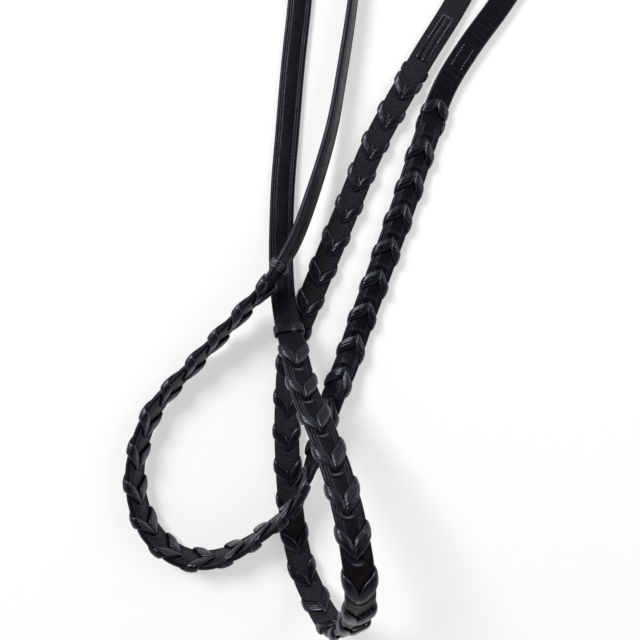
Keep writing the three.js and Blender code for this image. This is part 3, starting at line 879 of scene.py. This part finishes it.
def crease(w, v, travel):
    """Depth of the pulled creases on a lace's face; they wander a little along it."""
    if v < -0.6:
        return 0.0
    depth = 0.0
    for at, phase in ((-0.55, 0.0), (-0.1, 1.9), (0.42, 4.1)):
        wander = 0.09 * math.sin(travel / (5 * MM) + phase)
        depth += 0.17 * bell(w - at - wander, 0.085)
    return depth


LACE_PROFILE = lace_profile()
BAND_PROFILE = [
    (1.0, -0.4), (0.99, 0.5), (0.92, 0.9), (0.6, 1.0), (0.36, 1.0), (0.28, 0.62), (0.2, 1.02),
    (-0.2, 1.04), (-0.3, 0.7), (-0.38, 1.0), (-0.6, 0.98), (-0.92, 0.86), (-0.99, 0.4), (-1.0, -0.4),
    (-0.9, -0.95), (0.0, -1.0), (0.9, -0.95),
]


def spline(points, part_count):
    """Uniform Catmull-Rom through lists of numbers."""
    result = []
    for i in range(1, len(points) - 2):
        for k in range(part_count):
            t = k / part_count
            value = []
            for a, b, c, d in zip(points[i - 1], points[i], points[i + 1], points[i + 2]):
                value.append(0.5 * (
                    2 * b + (c - a) * t + (2 * a - 5 * b + 4 * c - d) * t * t
                    + (3 * b - a - 3 * c + d) * t ** 3
                ))
            result.append(value)
    return result


def sweep_lace(bm, rein, hand, controls, parts=3, thick=LACE_THICK):
    """Lays a lace on a strap. Each control is (side, up, distance along, length covered)."""
    line = spline(controls, parts)
    rings = []
    travelled = 0.0
    for i, (side, up, distance, span) in enumerate(line):
        before = line[max(i - 1, 0)]
        after = line[min(i + 1, len(line) - 1)]
        turn = Vector((after[0] - before[0], after[1] - before[1]))
        outward = Vector((turn.y, -turn.x)).normalized()
        travelled += turn.length / 2
        ring = []
        for w, v in LACE_PROFILE:
            here = rein.route.spot(distance + w * span / 2)
            reach = (v - crease(w, v, travelled)) * thick / 2
            place = here.at(hand * (side + outward.x * reach), up + outward.y * reach)
            ring.append((place, Vector((travelled, w * 3 * MM, v * MM))))
        rings.append(ring)
    loft(bm, rings)


# One turn round half of the strap, in mm: side, up, travel from the slot, length covered.
LACE_TURN = [
    (8.75, 0.0, -11.3, 8.2), (8.45, 1.7, -10.6, 8.8), (7.2, 2.75, -9.3, 9.6),
    (4.7, 3.1, -6.5, 10.0), (2.4, 3.0, -3.6, 9.6), (1.0, 2.1, -1.5, 8.0),
    (0.7, 0.0, 0.0, 6.0),
    (1.0, -2.1, 1.5, 8.0), (2.4, -2.8, 3.6, 9.6), (4.7, -2.9, 6.5, 10.0),
    (7.2, -2.6, 9.3, 9.6), (8.45, -1.7, 10.6, 8.8),
]


def lace_controls(rein, hand, rng):
    """The turns of one lace, each a little different, as pulled by hand."""
    controls = []
    for n in range(-1, rein.turns + 2):
        lift = rng.uniform(-0.12, 0.3)
        lean = rng.uniform(-0.7, 0.7)
        spread = rng.uniform(-0.8, 0.7)
        for i, (side, up, travel, span) in enumerate(LACE_TURN):
            if n == -1 and i < 9 or n == rein.turns + 1 and i > 2:
                continue
            on_face = 2 <= i <= 5 or 7 <= i <= 10
            raised = up + math.copysign(lift, up) * on_face
            crossing = on_face and abs(side) < 3
            over = LACE_OVERLAP if crossing and (hand > 0) == (up < 0) else 0.0
            raised += math.copysign(over, up)
            side -= LACE_OVERREACH * over
            distance = rein.first_slot + n * rein.pitch + (travel + lean * on_face) * MM
            controls.append((side * MM, raised * MM, distance, (span + spread * on_face) * MM))
    return controls


def lace_piece(rein, hand, side_name, rng):
    bm = bmesh.new()
    sweep_lace(bm, rein, hand, lace_controls(rein, hand, rng))
    name = f"lace_{side_name}_{rein.letter}"
    return piece_from(bm, f"{name}_wrap", [LACE], nodes=[name])


def wrap_loop(half_width, top, bottom, corner, bulge=0.25):
    """Places round a rounded box, in mm, as (side, up, outward side, outward up)."""
    loop = []
    for cx, cy, turn in (
        (half_width - corner, top - corner, 0), (corner - half_width, top - corner, 1),
        (corner - half_width, bottom + corner, 2), (half_width - corner, bottom + corner, 3),
    ):
        for k in range(7):
            angle = math.pi / 2 * (turn + k / 6)
            out = (math.cos(angle), math.sin(angle))
            loop.append((cx + corner * out[0], cy + corner * out[1], *out))
        if turn % 2 == 0:
            flat = 1 if turn == 0 else -1
            for k in range(1, 8):
                x = flat * (half_width - corner) * (1 - k / 4)
                rise = bulge * math.sin(math.pi * k / 8)
                level = (top if turn == 0 else bottom) + flat * rise
                loop.append((x, level, 0.0, float(flat)))
    return loop


def wrapped_band(bm, route, distance, width, loop, thick, profile):
    rings = []
    for i, (side, up, out_side, out_up) in enumerate(loop):
        ring = []
        for w, v in profile:
            here = route.spot(distance + w * width / 2)
            reach = v * thick / 2
            place = here.at(side * MM + out_side * reach, up * MM + out_up * reach)
            ring.append((place, Vector((i * 1.2 * MM, w * 3 * MM, v * MM))))
        rings.append(ring)
    loft(bm, rings, loop=True)


def start_band(rein):
    """The plain wrap that starts the lacing, with the lace end tucked over it."""
    bm = bmesh.new()
    at = rein.first_slot - BAND_AT
    loop = wrap_loop(8.9, 2.75, -2.75, 1.5)
    wrapped_band(bm, rein.route, at, 6.0 * MM, loop, 1.25 * MM, BAND_PROFILE)
    tuck = []
    for along, up, span in (
        (-8, 1.0, 2.4), (-5.2, 1.4, 2.6), (-4.0, 2.6, 2.8), (-3, 3.6, 3.0), (0, 3.85, 3.2),
        (3, 3.6, 3.4), (4.0, 2.6, 3.4), (5.2, 1.4, 3.2), (8, 1.0, 2.8),
    ):
        tuck.append((along * MM, up * MM, span * MM))
    rings = []
    line = spline(tuck, 4)
    for i, (along, up, span) in enumerate(line):
        ring = []
        for w, v in BAND_PROFILE:
            here = rein.route.spot(at + along)
            place = here.at(-2.6 * MM + w * span / 2, up + v * 0.5 * MM)
            ring.append((place, Vector((i * MM, w * 2 * MM, v * MM))))
        rings.append(ring)
    loft(bm, rings)
    name = f"lace_start_band_{rein.letter}"
    return piece_from(bm, f"{name}_wrap", [LACE], nodes=[name])


END_LOBE = [
    (8.5, -1.6, -3.0, 6.4), (8.7, 0.0, -2.6, 6.8), (8.2, 1.9, -2.0, 7.4), (6.6, 2.75, -1.0, 8.0),
    (4.2, 3.1, 0.4, 8.6), (1.8, 3.1, 2.2, 8.0), (0.2, 2.4, 3.6, 6.4), (-0.6, 0.6, 4.4, 4.6),
    (-0.6, -1.0, 4.6, 4.2),
]


def end_cross(rein):
    """The two lace ends, folded over the grain side and down through the strap."""
    bm = bmesh.new()
    for hand in (1, -1):
        raised = 0.7 if hand > 0 else 0.0
        controls = [
            (side * MM, (up + (raised if up > 2 else 0)) * MM,
             rein.last_slot + CROSS_AT + travel * MM, span * MM)
            for side, up, travel, span in END_LOBE
        ]
        sweep_lace(bm, rein, hand, controls, 5, 1.3 * MM)
    name = f"lace_end_cross_{rein.letter}"
    return piece_from(bm, f"{name}_wrap", [LACE], nodes=[name])


TAIL_PROFILE = [
    (-1.0, -1.0), (-0.98, -0.5), (-0.9, -0.25), (-0.5, -0.15), (0.0, -0.1), (0.5, -0.15),
    (0.9, -0.25), (0.98, -0.5), (1.0, -1.0),
]


def lace_tail(rein):
    """The lace ends side by side, laid flat on the flesh side under the stitching."""
    bm = bmesh.new()
    start = rein.last_slot + TAIL_FROM
    stop = rein.last_slot + TAIL_TO
    middle = STRAP_THICK / 2 + TAIL_THICK / 2 + 0.15 * MM
    for half in (1, -1):
        rings = []
        for d in steps(start, stop, 1 * MM):
            here = rein.route.spot(d)
            into = min(d - start, stop - d)
            sink = 1.6 * MM * bell(d - start, 1.6 * MM) + 0.5 * MM * bell(stop - d, 1.5 * MM)
            width = TAIL_WIDTH / 4 * (0.55 + 0.45 * min(1, into / (3 * MM)))
            ring = []
            for w, v in TAIL_PROFILE:
                side = half * (width + 0.05 * MM) + w * width
                up = -(middle - sink) - v * TAIL_THICK / 2
                ring.append((here.at(side, up), Vector((d, w * 2 * MM, v * MM))))
            rings.append(ring)
        loft(bm, rings)
    name = f"lace_tail_{rein.letter}"
    return piece_from(bm, f"{name}_flat", [LACE], nodes=[name])


# ---------------------------------------------------------------- stitching
STITCH_LENGTH = 1.2 * MM
STITCH_PITCH = 1.95 * MM
THREAD_RADIUS = 0.22 * MM


def stitch(bm, route, start, stop, up):
    """One stitch from (side, distance) to (side, distance), sunk at both ends."""
    points = []
    radii = []
    for k in range(7):
        part = k / 6
        side = start[0] + (stop[0] - start[0]) * part
        distance = start[1] + (stop[1] - start[1]) * part
        arch = math.sin(math.pi * part)
        rise = math.copysign((arch - 0.55) * 0.3 * MM, up)
        points.append(route.spot(distance).at(side, up + rise))
        radii.append(THREAD_RADIUS * (0.55 + 0.45 * arch))
    loft(bm, rod_rings(points, radii, 8))


def stitching(rein, face, first, last, side, level, cross=False):
    """Two rows of stitches along the strap, and a short row across their far end."""
    bm = bmesh.new()
    count = round((last - first) / STITCH_PITCH)
    slant = 0.28 * MM
    for row in (-side, side):
        for k in range(count):
            d = first + k * STITCH_PITCH
            stitch(bm, rein.route, (row - slant, d), (row + slant, d + STITCH_LENGTH), level)
    if cross:
        for k in (-1.5, -0.5, 0.5, 1.5):
            middle = k * STITCH_PITCH
            ends = [(middle + s * STITCH_LENGTH / 2, last + s * slant) for s in (-1, 1)]
            stitch(bm, rein.route, *ends, level)
    for row in (-side, side):
        knot = (row, first - 0.9 * MM)
        stitch(bm, rein.route, knot, (row + 0.5 * MM, first), level * 1.05)
    return piece_from(bm, f"stitching_{rein.letter}_{face}", [THREAD])


# ---------------------------------------------------------------- bit ends
def keeper_profile():
    """Keeper section: flat, with a creased line near each edge and rounded edges."""
    half = [(1.0, -0.2), (0.99, 0.45), (0.94, 0.85), (0.86, 1.0), (0.76, 0.78), (0.66, 1.0), (0.35, 1.06)]
    face = half + [(0.0, 1.08)] + [(-w, v) for w, v in reversed(half)]
    return face + [(-0.96, -0.85), (-0.85, -1.0), (0.0, -1.0), (0.85, -1.0), (0.96, -0.85)]


KEEPER_PROFILE = keeper_profile()


def keeper(name, route, distance, top, bottom, body="reins"):
    bm = bmesh.new()
    loop = wrap_loop(8.98, top, bottom, 1.6, bulge=0.15)
    wrapped_band(bm, route, distance, KEEPER_WIDTH, loop, 1.3 * MM, KEEPER_PROFILE)
    return piece_from(bm, f"{name}_loop", [KEEPER], body, "keeper_leather", [name])


def lathe_rings(here, outline, sides=32):
    """Turned shape about the strap's normal; outline is (height, radius) in mm."""
    rings = []
    for height, radius in outline:
        ring = []
        for k in range(sides):
            angle = 2 * math.pi * k / sides
            side = math.cos(angle) * radius * MM
            along = math.sin(angle) * radius * MM
            ring.append((here.at(side, height * MM, along), Vector((along, side, 0))))
        rings.append(ring)
    return rings


def hook_stud(rein):
    """Domed cap on the grain side, a post, and the flat hook that the return hangs on."""
    here = rein.route.spot(STUD_AT)
    half = STRAP_THICK / MM / 2
    under = -half - BIT_DROP / MM - 0.3
    bm = bmesh.new()
    cap = [
        (half + 0.25, 2.0), (half + 0.25, 3.3), (half + 0.45, 3.6), (half + 0.75, 3.5),
        (half + 1.05, 2.9), (half + 1.25, 1.9), (half + 1.33, 0.9), (half + 1.35, 0.2),
    ]
    loft(bm, lathe_rings(here, cap))
    loft(bm, lathe_rings(here, [(under - 0.3, 1.7), (half + 0.8, 1.7)]))
    rings = []
    for height, inset in ((-1.2, 0.6), (-1.1, 0.15), (-0.8, 0.0), (-0.4, 0.0), (-0.1, 0.15), (0.0, 0.6)):
        ring = []
        for k in range(32):
            angle = 2 * math.pi * k / 32
            end = 2.5 * math.copysign(1, math.sin(angle))
            along = (math.sin(angle) * (3 - inset) + end - 2.5) * MM
            side = math.cos(angle) * (3 - inset) * MM
            ring.append((here.at(side, (under + height) * MM, along), Vector((along, side, 0))))
        rings.append(ring)
    loft(bm, rings)
    name = f"hook_stud_{rein.letter}"
    return piece_from(bm, f"{name}_metal", [STEEL], slot="steel", nodes=[name])


# ---------------------------------------------------------------- buckle
def hinge_spot():
    end = REIN_B.route.spot(REIN_B.route.length)
    cos, sin = math.cos(BUCKLE_DROOP), math.sin(BUCKLE_DROOP)
    along = end.along * cos - end.up * sin
    up = end.up * cos + end.along * sin
    return Spot(end.at(0, BAR_Y, BAR_X), along, up, end.side)


def buckle_frame():
    """A wire frame with soft corners at its free bar."""
    hinge = hinge_spot()
    half = BUCKLE_INSIDE_WIDTH / 2 + WIRE
    corners = [
        (0, half, 1.0 * MM, math.pi), (BUCKLE_REACH, half, 3.2 * MM, math.pi / 2),
        (BUCKLE_REACH, -half, 3.2 * MM, 0), (0, -half, 1.0 * MM, -math.pi / 2),
    ]
    points = []
    for x, y, radius, start in corners:
        cx = x + radius if x == 0 else x - radius
        cy = y - radius if y > 0 else y + radius
        for k in range(9):
            angle = start - math.pi / 2 * k / 8
            points.append(hinge.at(cy + radius * math.sin(angle), 0, cx + radius * math.cos(angle)))
    rings = []
    for i, place in enumerate(points):
        heading = (points[(i + 1) % len(points)] - points[i - 1]).normalized()
        across = heading.cross(hinge.up)
        ring = []
        for k in range(18):
            angle = 2 * math.pi * k / 18
            spoke = (across * math.cos(angle) + hinge.up * math.sin(angle)) * WIRE
            ring.append((place + spoke, Vector((i * MM, k * MM, 0))))
        rings.append(ring)
    bm = bmesh.new()
    loft(bm, rings, loop=True)
    return piece_from(bm, "buckle_frame_metal", [STEEL], "frame", "steel", ["buckle_frame"])


def buckle_tongue():
    """An eye round the hinge bar and a pin that rests on the free bar."""
    hinge = hinge_spot()
    bm = bmesh.new()
    rings = []
    inside = WIRE + 0.3 * MM
    radial = TONGUE_RADIUS * 0.8
    for i in range(36):
        turn = 2 * math.pi * i / 36
        ring = []
        for k in range(14):
            angle = 2 * math.pi * k / 14
            radius = inside + radial + radial * math.cos(angle)
            side = TONGUE_RADIUS * math.sin(angle)
            place = hinge.at(side, radius * math.sin(turn), radius * math.cos(turn))
            ring.append((place, Vector((i * MM, k * MM, 0))))
        rings.append(ring)
    loft(bm, rings, loop=True)
    rest = WIRE + 0.2 * MM + TONGUE_RADIUS
    line = []
    radii = []
    for k in range(21):
        part = k / 20
        along = 0.6 * MM + part * (BUCKLE_REACH + 0.8 * MM)
        hump = 0.35 * MM * math.sin(math.pi * part)
        line.append(hinge.at(0, rest + hump, along))
        radii.append(TONGUE_RADIUS * (1 - 0.25 * part) * math.sqrt(max(0.02, 1 - part ** 14)))
    loft(bm, rod_rings(line, radii, 16))
    return piece_from(bm, "buckle_tongue_metal", [STEEL], "tongue", "steel", ["buckle_tongue"])


# ---------------------------------------------------------------- the reins
def add_rein(rein, grain, flesh, rng, far_end, stitch_rows, extra=(), **cuts):
    strap, path = strap_piece(rein, grain, flesh, **cuts)
    parts = [
        lace_piece(rein, -1, "left", rng),
        lace_piece(rein, 1, "right", rng),
        start_band(rein),
        end_cross(rein),
        lace_tail(rein),
        hook_stud(rein),
    ]
    first, last = stitch_rows
    under = -(STRAP_THICK / 2 + TAIL_THICK + 0.2 * MM)
    parts.append(stitching(rein, "flesh", first, last, 3.4 * MM, under, cross=True))
    parts.append(stitching(rein, "grain", first, last, 3.5 * MM, STRAP_THICK / 2 + 0.08 * MM))
    for i, distance in enumerate(BIT_KEEPERS_AT):
        name = f"bit_keeper_{rein.letter}{i + 1}"
        parts.append(keeper(name, rein.route, distance, 2.9, -2.9 - BIT_DROP / MM))
    length = sum((b - a).length for a, b in zip(path, path[1:]))
    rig.cord(
        strap, exit=path[0], length=length, diameter=STRAP_WIDTH, far_end=far_end,
        stiffness="stiff", lay="loose", path=path, with_pieces=parts + list(extra),
    )


def buckle_parts():
    chape_bottom = -(CHAPE_DROP + END_THICK / 2) / MM - 1.0
    route = REIN_B.route
    return [
        keeper("chape_keeper", route, route.length - 7 * MM, 6.3, chape_bottom),
        keeper("runner_keeper", route, route.length - 24 * MM, 6.3, chape_bottom, "runner"),
        buckle_frame(),
        buckle_tongue(),
    ]


rng = random.Random(11)
add_rein(
    REIN_A, GRAIN_A, FLESH_A, rng, "bare", (1046.5 * MM, 1064.5 * MM),
    tip_holes=(24 * MM, 44 * MM, 64 * MM),
)
add_rein(
    REIN_B, GRAIN_B, FLESH_B, rng, "fitting", (1012 * MM, 1028 * MM),
    extra=buckle_parts(), tongue_slot=True,
)


# ---------------------------------------------------------------- floor and light
def add_floor():
    material, tree, shader = new_material(
        "light_table", Specular_IOR_Level=0.1, Emission_Color=(1, 1, 1, 1), Emission_Strength=FLOOR_GLOW,
    )
    fibres = noise_at(tree, metres(tree), 60, 3)
    colour = mixed_colour(tree, fibres, (0.955, 0.955, 0.955, 1), (0.97, 0.97, 0.97, 1))
    gloss = ranged(tree, fibres, 0, 1, 0.85, 0.95)
    finish_material(tree, shader, colour, gloss, bump(tree, fibres, 0.02, MM))
    bm = bmesh.new()
    bmesh.ops.create_circle(bm, cap_ends=True, segments=64, radius=5)
    mesh = bpy.data.meshes.new("floor")
    bm.to_mesh(mesh)
    bm.free()
    mesh.materials.append(material)
    floor = bpy.data.objects.new("floor", mesh)
    bpy.context.collection.objects.link(floor)
    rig.stage(floor)


def add_softbox(name, place, size, power):
    light = bpy.data.lights.new(name, "AREA")
    light.shape = "RECTANGLE"
    light.size, light.size_y = size
    light.energy = power
    lamp = bpy.data.objects.new(name, light)
    lamp.location = LAY + Vector(place)
    lamp.rotation_euler = (LAY - lamp.location).to_track_quat("-Z", "Y").to_euler()
    bpy.context.collection.objects.link(lamp)


def add_world():
    """White all round and dim overhead, like a table under a dark ceiling with white walls."""
    world = bpy.data.worlds.new("studio")
    bpy.context.scene.world = world
    world.use_nodes = True
    tree = world.node_tree
    direction = add_node(tree, "ShaderNodeTexCoord").outputs["Generated"]
    height = add_node(tree, "ShaderNodeSeparateXYZ", {"Vector": direction}).outputs["Z"]
    level = ranged(tree, height, 0.6, 0.86, WALLS, CEILING)
    tree.links.new(level, tree.nodes["Background"].inputs["Strength"])
    tree.nodes["Background"].inputs["Color"].default_value = (1, 1, 1, 1)


add_floor()
add_world()
add_softbox("key", (-1.15, 1.2, 1.55), (0.8, 0.8), 25)
add_softbox("side", (0.9, 0.5, 0.7), (0.3, 0.9), 2.2)
bpy.context.scene.view_settings.view_transform = "Standard"

with open("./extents.json", "w") as out:
    json.dump([[list(corner) for corner in box] for box in (cad_box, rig.bounds())], out)
